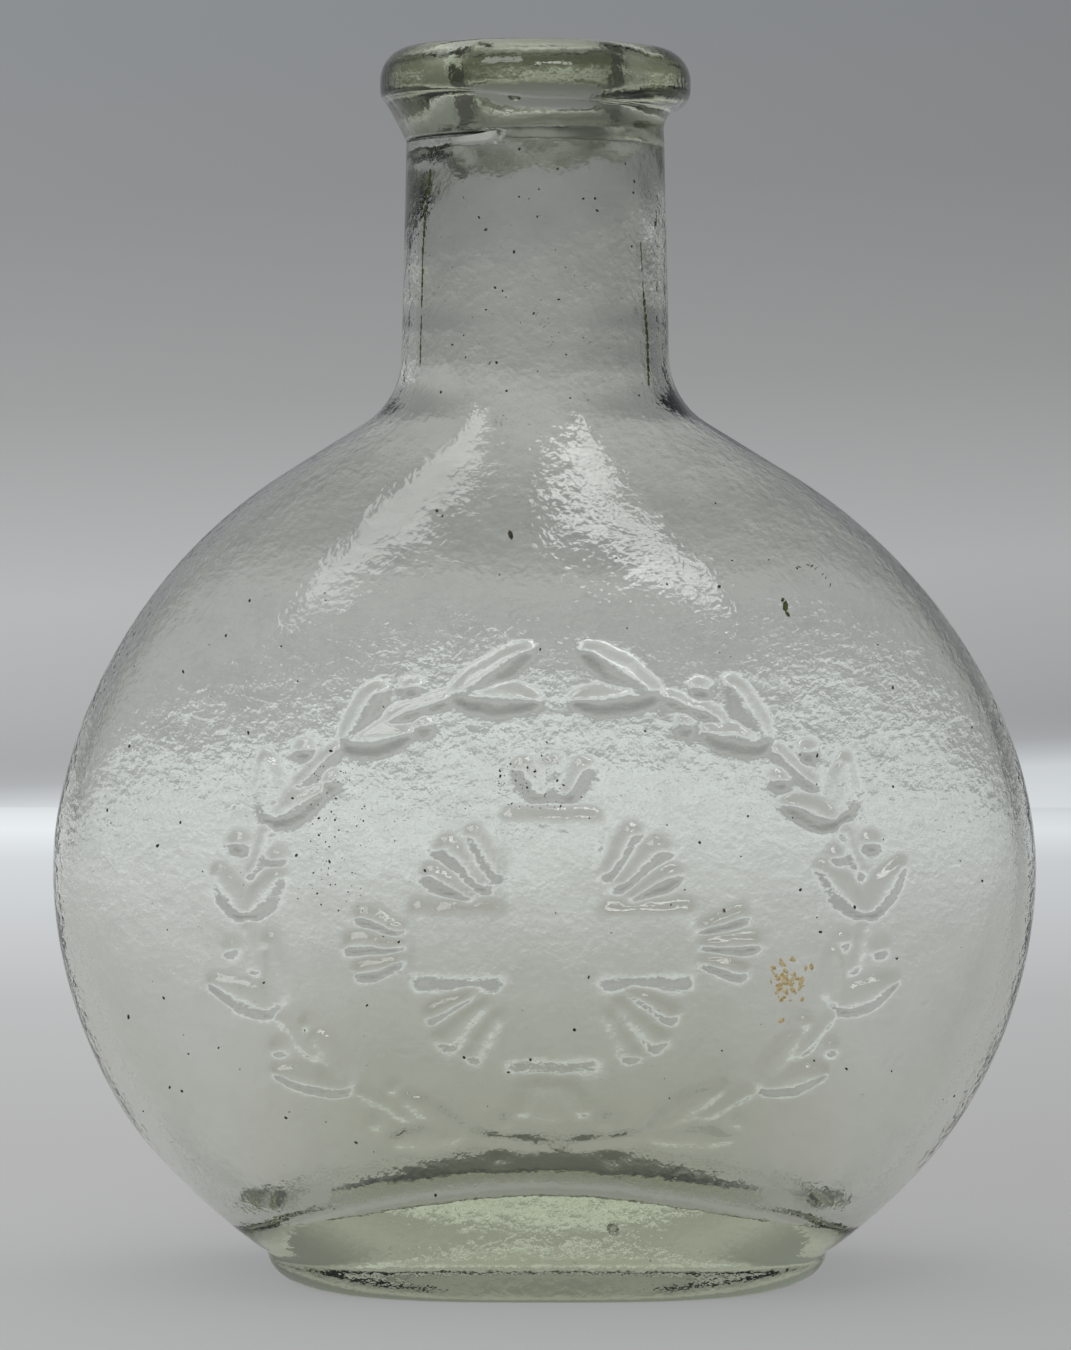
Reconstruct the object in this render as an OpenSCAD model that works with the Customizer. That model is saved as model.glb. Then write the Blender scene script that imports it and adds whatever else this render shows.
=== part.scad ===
// Small schnapps flask in clear pressed and blown glass, one piece: an oval body on a low foot,
// a round neck with a tooled lip, and a cross with rays inside a wreath raised on the front.
// Millimetres, +Z up. The decorated front looks towards -Y and the foot stands on z = 0.

/* [Body] */
// Widest measure of the body, side to side
body_w = 109.3; // [106:0.1:113]
// Thickest measure of the body, front to back
body_d = 44; // [42:0.5:48]
// Height of the widest place above the table
widest_z = 45.3; // [44:0.1:47]
// Radius of the side outline above the widest place
upper_r = 51.8; // [50:0.1:54]
// Fullness of the upper outline, where 2 is a true circle and less is straighter
upper_full = 1.85; // [1.8:0.01:2]
// Radius of the side outline below the widest place
lower_r = 51; // [49.5:0.5:53]
// Fullness of the lower outline, where 2 is a true circle and less is straighter
lower_full = 1.96; // [1.9:0.01:2]
// Fall of the straight shoulder, in degrees from level
shoulder_fall = 31.6; // [30:0.1:34]
// How high the front and back stay upright before they fall in to the neck, where 1 is even
face_full = 1.6; // [1.2:0.1:1.8]
// Squareness of the section at the foot, where 2 is a true oval
foot_square = 3; // [2.4:0.1:3.4]
// Squareness of the section at the widest place
body_square = 2.2; // [2:0.1:2.5]

/* [Foot] */
// Width of the foot
foot_w = 64.2; // [61:0.2:65]
// Depth of the foot, front to back
foot_d = 35.5; // [33:0.5:36.5]
// Height of the foot's upright edge
foot_h = 3.4; // [3.2:0.1:4]
// Radius of the foot's lower edge
foot_round = 3; // [2:0.1:3.1]
// Width of the resting ring under the foot
rest_ring = 4; // [3:0.5:5]
// Hollow pushed up under the foot
kick_up = 1.8; // [1:0.2:3]

/* [Neck and lip] */
// Height of the whole flask
total_h = 136; // [132:0.5:142]
// Outside diameter of the neck where it leaves the shoulder
neck_low_d = 29.6; // [28.8:0.2:31]
// Outside diameter of the neck under the lip
neck_top_d = 28.2; // [27:0.2:28.6]
// How far the neck stands to the left of the body's middle
neck_shift = 1; // [0:0.2:1.6]
// Radius of the sweep from shoulder to neck
neck_sweep = 8.7; // [7:0.1:10]
// Outside diameter of the lip
lip_d = 34.2; // [33:0.2:36]
// Height of the lip's band
lip_h = 6.6; // [6:0.2:8]
// Radius of the lip's upper outer edge
lip_top_round = 3.6; // [2.5:0.1:4]
// Radius of the lip's lower outer edge
lip_low_round = 2; // [1.5:0.1:2.2]
// Height of the sloped skirt that the tool left under the lip, on the left
skirt_h = 4.6; // [3:0.2:6]
// How far the skirt lies to the left of the neck's middle
skirt_shift = 1.3; // [0.8:0.1:1.6]

/* [Hollow] */
// Bore of the mouth, which takes the stopper
mouth_d = 16.6; // [15.6:0.2:17.6]
// Length of the straight bore in the mouth
mouth_len = 7.4; // [6:0.2:8.4]
// Radius of the mouth's inner edge
mouth_round = 1.8; // [1:0.2:2]
// Bore at the ledge under the mouth, which the tooling of the lip left
ledge_d = 22; // [20:0.2:23]
// Height over which the mouth widens to that ledge
ledge_h = 1.8; // [1.4:0.2:2.6]
// Bore of the neck below its taper
neck_bore_d = 25.2; // [24:0.2:25.6]
// Length of the taper from the ledge to the neck's bore
neck_taper = 12; // [8:1:14]
// Thickness of the glass at the shoulders
side_wall = 1.5; // [1.3:0.1:2.2]
// Thickness of the glass at the sides, low down
low_wall = 2.8; // [2.4:0.1:3.6]
// Thickness of the glass at the front and back, at the widest place
face_wall = 2.8; // [2.4:0.1:3.4]
// How much the front and back thicken towards the foot, over 100 mm
face_grow = 2.2; // [0:0.2:2.4]
// Thickness of the glass under the two ends of the hollow
base_wall = 8; // [7:0.2:9]
// Rise of the hollow's floor from its ends to its middle, like an arch
floor_arch = 3.6; // [2:0.2:4.4]
// Further rise of the floor from the walls to its middle
floor_rise = 1.2; // [0.6:0.2:2]

/* [Raised work] */
// How far the raised work stands out from the front
relief_h = 0.9; // [0.6:0.1:1.2]
// Width of the cross over its arms
cross_w = 30; // [27:0.5:31]
// Height of the cross
cross_h = 27.2; // [25:0.2:28]
// Width of the upright bar
upright_w = 10.4; // [9:0.2:11]
// Width of the level bar
level_w = 8.6; // [7.6:0.2:10]
// Height of the cross's middle above the table
cross_z = 40; // [39.5:0.5:41]
// Distance of the cross's middle from the body's middle
cross_x = 0.8; // [-1:0.2:1]
// How far the level bar's middle lies below the upright's middle
level_drop = 0.5; // [0:0.1:1.5]
// Width of the wreath along its stem
wreath_w = 66; // [65:0.5:67]
// Height of the wreath along its stem
wreath_h = 49.4; // [49:0.2:50]
// Pairs of leaves on each branch of the wreath
leaf_pairs = 7; // [5:1:8]
// Length of a wreath leaf
leaf_len = 6.8; // [5:0.2:7.4]
// Width of a wreath leaf
leaf_w = 2.9; // [2:0.1:3]
// Angle of a leaf to its stem
leaf_spread = 38; // [25:1:45]
// Diameter of a berry
berry_d = 2.2; // [1.6:0.1:2.4]
// Distance between the two berries of a pair
berry_gap = 4.2; // [3.8:0.2:5]
// Length of the long ray in each corner of the cross
ray_len = 7; // [5:0.5:7.5]
// Width of a ray
ray_w = 1.8; // [1.4:0.1:2]

/* [Hidden] */
$fn = 48;

// facets round the outside and round the hollow
around = 64;
around_in = 36;
// how deep raised pieces reach into the wall, and how far cutters pass a face
sink = 0.5;
over = 1;
// distance between the inner ends of two rays of a fan
ray_gap = 1.5;
// how far the rays start from the cross, in its corners and off the ends of its bars
corner_gap = 1.7;
end_gap = 0.9;
// angles on the wreath's stem, up from the bottom: the first pair of leaves and the whole run
first_pair = 17;
branch_run = 168;
// how far the wreath's middle lies from the cross's middle, to the right and up
wreath_x = 0.4;
wreath_z = 2.6;
// where the side outline starts on its quarter wave, in degrees, just above the foot
depth_from = 8;
// height of the hollow's rounded lower corner, and its depth at the floor as a share of full
corner_h = 4.5;
floor_share = 0.8;
// height above the floor over which its arch dies out
arch_fade = 14;
// height from which the side walls thin towards the shoulders
thin_from = 10;
// softness of the run from the shoulders into the neck's bore
funnel = 3.5;
// where the face walls' run into the neck starts below the shoulder and ends above the neck's foot
run_below = 13;
run_above = 4;
// how far above the widest place the body begins to lean towards the neck
lean_from = 8;

lower_c = body_w / 2 - lower_r;
upper_c = body_w / 2 - upper_r;
// top end of the upper arc, where the straight shoulder begins
steep = pow(1 / tan(shoulder_fall), 1 / (upper_full - 1));
arc_u = pow(1 + pow(steep, upper_full), -1 / upper_full);
arc_x = upper_c + upper_r * arc_u;
arc_z = widest_z + upper_r * steep * arc_u;
// centre height of the sweep that joins the shoulder to the neck
neck_low_r = neck_low_d / 2;
neck_top_r = neck_top_d / 2;
sweep_z = arc_z
    + (neck_sweep - (neck_low_r + neck_sweep - arc_x) * sin(shoulder_fall)) / cos(shoulder_fall);
sweep_low_z = sweep_z - neck_sweep * cos(shoulder_fall);
lip_z = total_h - lip_h;
bore_r = neck_bore_d / 2;
run_top_z = sweep_z + run_above;
body_low_z = foot_h + 1;

// 0 below a, 1 above b, and a smooth rise between them
function rise(v, a, b) =
    let (u = min(1, max(0, (v - a) / (b - a)))) u * u * (3 - 2 * u);

// quarter of a curve of size 1 at height u, a circle where full is 2
function arc(u, full) = pow(1 - pow(u, full), 1 / full);

// half the width of the outline at height z
function half_w(z) =
    z <= widest_z ? lower_c + lower_r * arc((widest_z - z) / lower_r, lower_full)
    : z <= arc_z ? upper_c + upper_r * arc((z - widest_z) / upper_r, upper_full)
    : z <= sweep_low_z ? arc_x - (z - arc_z) / tan(shoulder_fall)
    : z <= sweep_z ? neck_low_r + neck_sweep
        - sqrt(max(0, neck_sweep * neck_sweep - pow(sweep_z - z, 2)))
    : neck_low_r + (neck_top_r - neck_low_r) * (z - sweep_z) / (lip_z - sweep_z);

// half the depth of the side outline at height z
function half_d(z) =
    z <= widest_z
    ? foot_d / 2 + (body_d - foot_d) / 2
        * sin(depth_from + (90 - depth_from) * (z - body_low_z) / (widest_z - body_low_z))
    : z <= sweep_z
    ? neck_low_r + (body_d / 2 - neck_low_r)
        * (0.5 + 0.5 * cos(180 * pow((z - widest_z) / (sweep_z - widest_z), face_full)))
    : half_w(z);

// squareness of the section and its sideways shift at height z
function square_at(z) =
    z <= widest_z ? foot_square + (body_square - foot_square) * rise(z, 0, widest_z)
    : body_square + (2 - body_square) * rise(z, widest_z, arc_z);
function shift_at(z) = -neck_shift * rise(z, widest_z + lean_from, sweep_z);

// one closed section with n corners: half width w, half depth d, height z, squareness q, shift x
function section(w, d, z, q, x, n) = [
    for (i = [0 : n - 1])
        let (c = cos(360 * i / n), s = sin(360 * i / n))
            [x + w * sign(c) * pow(abs(c), 2 / q), d * sign(s) * pow(abs(s), 2 / q), z]
];

// steps from a to b in n parts, without b
function steps(a, b, n) = [for (i = [0 : n - 1]) a + (b - a) * i / n];

// skin through a stack of sections, closed by a point below and a flat face above
module loft(rings, low) {
    n = len(rings[0]);
    k = len(rings);
    points = concat([low], [for (r = rings, p = r) p]);
    faces = concat(
        [for (i = [0 : n - 1]) [0, 1 + i, 1 + (i + 1) % n]],
        [for (j = [0 : k - 2], i = [0 : n - 1])
            [1 + j * n + i, 1 + (j + 1) * n + i, 1 + (j + 1) * n + (i + 1) % n]],
        [for (j = [0 : k - 2], i = [0 : n - 1])
            [1 + j * n + i, 1 + (j + 1) * n + (i + 1) % n, 1 + j * n + (i + 1) % n]],
        [[for (i = [n - 1 : -1 : 0]) 1 + (k - 1) * n + i]]
    );
    polyhedron(points, faces, convexity = 6);
}

// outside of the body and neck
module skin() {
    flat_w = foot_w / 2 - foot_round;
    flat_d = foot_d / 2 - foot_round;
    kick = [for (s = [0.35, 0.7, 1])
        section((flat_w - rest_ring) * s, (flat_d - rest_ring) * s,
            kick_up * (1 - s * s), foot_square, 0, around)];
    foot = [for (a = [0 : 22.5 : 90])
        section(flat_w + foot_round * sin(a), flat_d + foot_round * sin(a),
            foot_round * (1 - cos(a)), foot_square, 0, around)];
    foot_top = section(foot_w / 2, foot_d / 2, foot_h, foot_square, 0, around);
    heights = concat(
        steps(body_low_z, widest_z, 13),
        steps(widest_z, arc_z, 13),
        steps(arc_z, sweep_low_z, 3),
        steps(sweep_low_z, sweep_z, 5),
        [sweep_z, (sweep_z + lip_z) / 2, lip_z + over]
    );
    body = [for (z = heights)
        section(half_w(z), half_d(z), z, square_at(z), shift_at(z), around)];
    loft(concat(kick, foot, [foot_top], body), [0, 0, kick_up]);
}

// the lip's band, a ring of revolution standing over the neck, and its skirt on the left
module lip() {
    r = lip_d / 2;
    root = neck_top_r - over;
    translate([-neck_shift - skirt_shift, 0, 0])
    rotate_extrude($fn = 96)
    polygon([[0, lip_z - skirt_h + over], [root, lip_z - skirt_h + over],
        [r - skirt_shift - 0.1, lip_z + over], [0, lip_z + over]]);
    translate([-neck_shift, 0, 0])
    rotate_extrude($fn = 96)
    polygon(concat(
        [[0, lip_z - over], [root, lip_z - over]],
        [for (a = [-90 : 15 : 0])
            [r - lip_low_round + lip_low_round * cos(a), lip_z + lip_low_round * (1 + sin(a))]],
        [for (a = [0 : 10 : 90])
            [r - lip_top_round + lip_top_round * cos(a),
             total_h - lip_top_round + lip_top_round * sin(a)]],
        [[0, total_h]]
    ));
}

// half the width of the hollow at height z: the outline less the wall, measured square to it,
// run smoothly into the neck's bore
function side_at(z) = low_wall + (side_wall - low_wall) * rise(z, thin_from, arc_z);
function hollow_w(z) =
    let (
        e = 0.2,
        slope = (half_w(z + e) - half_w(z - e)) / (2 * e),
        line = arc_x - side_wall / sin(shoulder_fall) - (z - arc_z) / tan(shoulder_fall),
        wide = z <= arc_z ? half_w(z) - side_at(z) * sqrt(1 + slope * slope) : line,
        more = wide - bore_r
    ) bore_r + (more + sqrt(more * more + funnel * funnel)) / 2;

// half the depth of the hollow at height z, above its rounded lower corner
function hollow_d(z) =
    let (d = half_d(z) - face_wall - face_grow * (widest_z - z) / 100)
    d + (bore_r - d) * rise(z, arc_z - run_below, run_top_z);

// ring of the hollow, lifted by a share of the arch that its floor has over half width w
function arched(ring, share, w) = [
    for (p = ring)
        [p[0], p[1], p[2] + share * floor_arch * (0.5 + 0.5 * cos(180 * min(1, abs(p[0]) / w)))]
];

// hollow of the body, with a rounded floor that rises in the middle
module hollow_body() {
    floor_w = hollow_w(base_wall);
    floor_d = floor_share * hollow_d(base_wall);
    floor = [for (s = [0.25, 0.5, 0.75])
        section(floor_w * s, floor_d * s, base_wall + floor_rise * (0.5 + 0.5 * cos(180 * s)),
            foot_square, 0, around_in)];
    heights = concat(
        [for (a = [0 : 20 : 80]) base_wall + corner_h * (1 - cos(a))],
        steps(base_wall + corner_h, widest_z, 6),
        steps(widest_z, arc_z, 8),
        steps(arc_z, run_top_z, 8),
        [run_top_z]
    );
    walls = [for (z = heights)
        let (
            u = 1 - min(1, (z - base_wall) / corner_h),
            d = (floor_share + (1 - floor_share) * sqrt(1 - u * u)) * hollow_d(z)
        )
        section(hollow_w(z), d, z, square_at(z), shift_at(z), around_in)];
    loft(concat(
        [for (r = floor) arched(r, 1, floor_w)],
        [for (r = walls) arched(r, 1 - rise(r[0][2], base_wall, base_wall + arch_fade), floor_w)]
    ), [0, 0, base_wall + floor_rise + floor_arch]);
}

// bore of the neck and mouth, one turned cut from above
module neck_bore() {
    mouth_r = mouth_d / 2;
    ledge_r = ledge_d / 2;
    mouth_top = total_h - mouth_round;
    mouth_low = mouth_top - mouth_len;
    ledge_z = mouth_low - ledge_h;
    translate([-neck_shift, 0, 0])
    rotate_extrude($fn = 96)
    polygon(concat(
        [[0, run_top_z - over], [bore_r, run_top_z - over]],
        [for (a = [90 : -18 : 0])
            [ledge_r + (bore_r - ledge_r) * sin(a), ledge_z - neck_taper * a / 90]],
        [[mouth_r, mouth_low]],
        [for (a = [180 : -15 : 90])
            [mouth_r + mouth_round + mouth_round * cos(a), mouth_top + mouth_round * sin(a)]],
        [[mouth_r + mouth_round, total_h + over], [0, total_h + over]]
    ));
}

// depth of the front at width x and height z, and the way it faces there
function front_y(x, z) =
    -half_d(z) * pow(1 - pow(abs(x - shift_at(z)) / half_w(z), square_at(z)), 1 / square_at(z));
function facing(x, z) =
    let (
        e = 0.2,
        v = [(front_y(x + e, z) - front_y(x - e, z)) / (2 * e), -1,
             (front_y(x, z + e) - front_y(x, z - e)) / (2 * e)]
    ) v / norm(v);
// point that stands h out from the front at the place p = [x, z]
function on_front(p, h) = [p[0], front_y(p[0], p[1]), p[1]] + h * facing(p[0], p[1]);

// raised bar from a to b with a rounded back; sides holds its half width at even steps
module raised(a, b, sides, h, flat = 0.35) {
    k = len(sides) - 1;
    run = (b - a) / norm(b - a);
    across = [-run[1], run[0]];
    points = [for (i = [0 : k], j = [0 : 3])
        let (
            c = a + (b - a) * i / k,
            side = [-1, -flat, flat, 1][j] * sides[i],
            up = [-sink, h, h, -sink][j]
        )
        on_front(c + across * side, up * ((i == 0 || i == k) && up > 0 ? 0.45 : 1))];
    faces = concat(
        [[2, 1, 0], [3, 2, 0]],
        [for (i = [0 : k - 1], j = [0 : 3])
            [4 * i + (j + 1) % 4, 4 * i + 4 + j, 4 * i + j]],
        [for (i = [0 : k - 1], j = [0 : 3])
            [4 * i + (j + 1) % 4, 4 * i + 4 + (j + 1) % 4, 4 * i + 4 + j]],
        [[4 * k + 1, 4 * k + 2, 4 * k + 3], [4 * k, 4 * k + 1, 4 * k + 3]]
    );
    polyhedron(points, faces, convexity = 4);
}

module leaf(p, turn, length, width) {
    way = [cos(turn), sin(turn)];
    raised(p, p + length * way, width / 2 * [0.3, 0.9, 1, 0.75, 0.2], relief_h, 0.12);
}

module berry(p) {
    translate(on_front(p, 0))
    sphere(d = berry_d, $fn = 24);
}

// the two bars of the cross, with flat backs and sloped sides
module cross_bars() {
    w = upright_w / 2;
    l = level_w / 2;
    raised([cross_x, cross_z - cross_h / 2], [cross_x, cross_z + cross_h / 2],
        [w, w, w, w, w], relief_h, 0.85);
    level_z = cross_z - level_drop;
    raised([cross_x - cross_w / 2, level_z], [cross_x + cross_w / 2, level_z],
        [l, l, l, l, l, l, l], relief_h * 0.97, 0.85);
}

// a fan of three wedge-shaped rays about the heading turn, from start and a little apart
module fan(start, turn, apart, long, short, wide) {
    for (i = [-1 : 1]) {
        way = [cos(turn + apart * i), sin(turn + apart * i)];
        side = [-sin(turn), cos(turn)] * ray_gap * i;
        raised(start + side, start + side + (i == 0 ? long : short) * way,
            [0.4, 0.7, 1, 0.7] * ray_w / 2 * (i == 0 ? wide : 1), relief_h, 0.3);
    }
}

// rays of light round the cross: a fan in each corner and one at each end of the bars
module rays() {
    middle = [cross_x, cross_z - level_drop];
    for (sx = [-1, 1], sz = [-1, 1])
        fan(middle + [sx * (upright_w / 2 + corner_gap), sz * (level_w / 2 + corner_gap)],
            atan2(sz, sx), 17, ray_len, 0.88 * ray_len, 1.5);
    for (s = [-1, 1]) {
        fan(middle + [s * (cross_w / 2 + end_gap), 0], 90 - 90 * s, 20,
            0.88 * ray_len, 0.75 * ray_len, 1);
        fan([cross_x, cross_z + s * (cross_h / 2 + end_gap)], 90 * s, 24,
            0.55 * ray_len, 0.6 * ray_len, 1);
    }
}

// place on the wreath's stem at angle t up from the bottom, on branch s, and its heading there
function stem(t, s) =
    [cross_x + wreath_x + s * wreath_w / 2 * sin(t), cross_z + wreath_z - wreath_h / 2 * cos(t)];
function stem_turn(t, s) = atan2(wreath_h * sin(t), s * wreath_w * cos(t));

// two branches of paired leaves with berries between; the leaves lie closer to the stem and
// grow longer towards the bottom and the top
module wreath() {
    pitch = branch_run / leaf_pairs;
    for (s = [-1, 1], i = [0 : leaf_pairs - 1]) {
        t = first_pair + pitch * i;
        level = pow(cos(t), 2);
        for (side = [-1, 1])
            leaf(stem(t, s), stem_turn(t, s) + side * leaf_spread * (1 - 0.65 * level),
                leaf_len * (1 + 0.3 * level), leaf_w);
        below = t - 0.3 * pitch;
        out = stem_turn(below, s) + 90;
        for (side = [-1, 1])
            berry(stem(below, s) + side * berry_gap / 2 * [cos(out), sin(out)]);
        raised(stem(t - 0.6 * pitch, s), stem(t - 0.05 * pitch, s), [0.35, 0.5, 0.35],
            relief_h * 0.6, 0.4);
    }
}

module bottle() {
    color([0.78, 0.82, 0.78])
    difference() {
        union() {
            skin();
            lip();
            cross_bars();
            rays();
            wreath();
        }
        hollow_body();
        neck_bore();
    }
}

bottle();
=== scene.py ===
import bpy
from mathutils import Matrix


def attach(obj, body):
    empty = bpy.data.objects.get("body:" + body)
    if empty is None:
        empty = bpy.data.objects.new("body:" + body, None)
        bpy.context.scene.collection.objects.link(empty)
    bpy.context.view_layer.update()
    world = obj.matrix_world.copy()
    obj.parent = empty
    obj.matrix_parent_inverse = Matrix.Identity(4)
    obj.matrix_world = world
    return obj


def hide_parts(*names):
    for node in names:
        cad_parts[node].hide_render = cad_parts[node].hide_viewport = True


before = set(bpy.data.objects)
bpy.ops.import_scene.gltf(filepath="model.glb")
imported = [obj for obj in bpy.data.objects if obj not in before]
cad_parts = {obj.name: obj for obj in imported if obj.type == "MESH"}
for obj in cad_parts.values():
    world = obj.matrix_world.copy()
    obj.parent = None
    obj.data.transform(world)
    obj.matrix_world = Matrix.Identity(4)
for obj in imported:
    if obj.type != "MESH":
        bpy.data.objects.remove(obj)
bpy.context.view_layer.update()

import math

import bpy
import numpy as np

# Sizes, in millimetres
MM = 0.001
BODY_W, BODY_D, WIDEST_Z = 109.3, 44.0, 45.3
UPPER_R, UPPER_FULL, LOWER_R, LOWER_FULL, FALL = 51.8, 1.85, 51.0, 1.96, math.radians(31.6)
FOOT_SQUARE, BODY_SQUARE = 3.0, 2.2
FOOT_W, FOOT_D, FOOT_H, REST_RING = 64.2, 35.5, 3.4, 4.0
TOTAL_H, NECK_LOW_R, NECK_TOP_R, NECK_SHIFT, SWEEP = 136.0, 14.8, 14.1, 1.0, 8.7
LIP_R, LIP_H, LIP_TOP, LIP_LOW = 17.1, 6.6, 3.6, 2.0
MOUTH_R, MOUTH_LEN, MOUTH_ROUND = 8.3, 7.4, 1.8
LEDGE_R, LEDGE_H, BORE_R, TAPER = 11.0, 1.8, 12.6, 12.0
SIDE_WALL, LOW_WALL, THIN_FROM, FACE_WALL, FACE_GROW = 1.5, 2.8, 10.0, 2.8, 2.2
BASE_WALL, FLOOR_ARCH, FLOOR_RISE, ARCH_FADE, CORNER_H, FLOOR_SHARE = 8.0, 3.6, 1.2, 14.0, 4.5, 0.8
FUNNEL, RUN_BELOW, RUN_ABOVE = 3.5, 13.0, 4.0
CROSS_W, CROSS_H, UPRIGHT_W, LEVEL_W = 30.0, 27.2, 10.4, 8.6
CROSS_X, CROSS_Z, LEVEL_DROP, WREATH_W, WREATH_H = 0.8, 40.0, 0.5, 66.0, 49.4
LEAF_LEN, LEAF_W, LEAF_SPREAD, BERRY_D, BERRY_GAP = 6.8, 2.9, 38.0, 2.2, 4.2
RAY_LEN, RAY_W, RAY_GAP = 7.0, 1.8, 1.5

# Sizes that the scene has otherwise than the part's source, or alone, in millimetres
RELIEF_H, KICK_UP, HEEL_ENDS, HEEL_FRONT = 0.62, 0.9, 4.6, 1.2
NARROWER, ASIDE, UNEVEN_FROM, UNEVEN_RUN = 0.9, 0.3, 4.0, 14.0
LIP_LEFT_R, LIP_LEFT_Z, UNDER_LEFT_Z, UNDER_RIGHT_Z, LIP_SAG = 16.7, 130.3, 125.4, 126.9, 0.3
MOUTH_LEAN, LEDGE_LEAN, BORE_LEAN = 0.4, 0.8, -0.4
FLAKE_THICK = 0.05

# Half widths of a ray, a leaf and a stem at even steps along it, as shares of its width
RAY_SIDES, LEAF_SIDES, STEM_SIDES = (0.2, 0.65, 1, 0.8), (0.3, 0.9, 1, 0.75, 0.2), (0.7, 1, 0.7)
LEAVES, LEAF_PITCH, FIRST_LEAF = 7, math.radians(24), math.radians(17)

# How fine the glass is drawn, to stay under 200,000 triangles: half angle and columns of the front,
# columns of the rest, and rings over the height of the raised work
FRONT_HALF, FRONT_COLUMNS, REST_COLUMNS = 48, 182, 84
RELIEF_LOW_Z, RELIEF_TOP_Z, RELIEF_RINGS = 10, 72, 133

LOWER_C, UPPER_C = BODY_W / 2 - LOWER_R, BODY_W / 2 - UPPER_R
STEEP = (1 / math.tan(FALL)) ** (1 / (UPPER_FULL - 1))
ARC_U = (1 + STEEP ** UPPER_FULL) ** (-1 / UPPER_FULL)
ARC_X, ARC_Z = UPPER_C + UPPER_R * ARC_U, WIDEST_Z + UPPER_R * STEEP * ARC_U
SWEEP_Z = ARC_Z + (SWEEP - (NECK_LOW_R + SWEEP - ARC_X) * math.sin(FALL)) / math.cos(FALL)
SWEEP_LOW_Z = SWEEP_Z - SWEEP * math.cos(FALL)
LIP_Z = TOTAL_H - LIP_H
RUN_TOP_Z = SWEEP_Z + RUN_ABOVE
BODY_LOW_Z = FOOT_H + 1
LEVEL_Z = CROSS_Z - LEVEL_DROP

rng = np.random.default_rng(17)


def smooth(u):
    u = np.clip(u, 0, 1)
    return u * u * (3 - 2 * u)


def rise(v, a, b):
    return smooth((v - a) / (b - a))


# The plain form and the hollow, as in the part's source
def arc(u, full):
    return (1 - np.clip(u, 0, 1) ** full) ** (1 / full)


def half_w(z):
    z = np.asarray(z, float)
    low = LOWER_C + LOWER_R * arc((WIDEST_Z - z) / LOWER_R, LOWER_FULL)
    up = UPPER_C + UPPER_R * arc((z - WIDEST_Z) / UPPER_R, UPPER_FULL)
    line = ARC_X - (z - ARC_Z) / math.tan(FALL)
    sweep = NECK_LOW_R + SWEEP - np.sqrt(np.maximum(0, SWEEP ** 2 - (SWEEP_Z - z) ** 2))
    neck = NECK_LOW_R + (NECK_TOP_R - NECK_LOW_R) * (z - SWEEP_Z) / (LIP_Z - SWEEP_Z)
    return np.select([z <= WIDEST_Z, z <= ARC_Z, z <= SWEEP_LOW_Z, z <= SWEEP_Z],
                     [low, up, line, sweep], neck)


def half_d(z):
    z = np.asarray(z, float)
    a = np.radians(8 + 82 * (z - BODY_LOW_Z) / (WIDEST_Z - BODY_LOW_Z))
    low = FOOT_D / 2 + (BODY_D - FOOT_D) / 2 * np.sin(a)
    u = np.clip((z - WIDEST_Z) / (SWEEP_Z - WIDEST_Z), 0, 1)
    up = NECK_LOW_R + (BODY_D / 2 - NECK_LOW_R) * (0.5 + 0.5 * np.cos(math.pi * u ** 1.6))
    return np.select([z <= WIDEST_Z, z <= SWEEP_Z], [low, up], half_w(z))


def square_at(z):
    """How square the section is: 2 is a circle or ellipse."""
    z = np.asarray(z, float)
    low = FOOT_SQUARE + (BODY_SQUARE - FOOT_SQUARE) * rise(z, 0, WIDEST_Z)
    return np.where(z <= WIDEST_Z, low, BODY_SQUARE + (2 - BODY_SQUARE) * rise(z, WIDEST_Z, ARC_Z))


def shift_at(z):
    return -NECK_SHIFT * rise(np.asarray(z, float), WIDEST_Z + 8, SWEEP_Z)


def hollow_w(z):
    """Half width of the hollow: the outline less the wall, run smoothly into the neck's bore."""
    z = np.asarray(z, float)
    slope = (half_w(z + 0.2) - half_w(z - 0.2)) / 0.4
    wall = LOW_WALL + (SIDE_WALL - LOW_WALL) * rise(z, THIN_FROM, ARC_Z)
    line = ARC_X - SIDE_WALL / math.sin(FALL) - (z - ARC_Z) / math.tan(FALL)
    more = np.where(z <= ARC_Z, half_w(z) - wall * np.sqrt(1 + slope ** 2), line) - BORE_R
    return BORE_R + (more + np.sqrt(more ** 2 + FUNNEL ** 2)) / 2


def hollow_d(z):
    """Half depth of the hollow: the side outline less the face wall, which thickens into the neck."""
    d = half_d(z) - FACE_WALL - FACE_GROW * (WIDEST_Z - z) / 100
    return d + (BORE_R - d) * rise(z, ARC_Z - RUN_BELOW, RUN_TOP_Z)


def uneven(z):
    """How much narrower the foot and lowest body are than the even form, and how far to the right."""
    low = 1 - smooth((z - UNEVEN_FROM) / UNEVEN_RUN)
    return NARROWER * low, ASIDE * low


def waviness(x, z, seed, size, amount):
    """Slow ripples of hand-worked glass, smooth and seeded."""
    g = np.random.default_rng(seed)
    total = 0
    for _ in range(9):
        a, k, p = g.uniform(0, 2 * math.pi), g.uniform(0.5, 1.4) * 2 * math.pi / size, g.uniform(0, 6.28)
        total = total + np.sin(k * (x * math.cos(a) + z * math.sin(a)) + p)
    return amount * total / 3


# Raised work, as heights over the front from 0 to 1
def bar(x, z, cx, cz, w, h):
    """Height of a flat-backed bar with sloped edges, gentler along its lower edges."""
    soft = np.where(z < cz - h / 2 + 1.5, 2.6, 1.7)
    dx, dz = np.abs(x - cx) - w / 2, np.abs(z - cz) - h / 2
    return smooth(0.5 - dx / 0.9) * smooth(0.5 - dz / soft)


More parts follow.
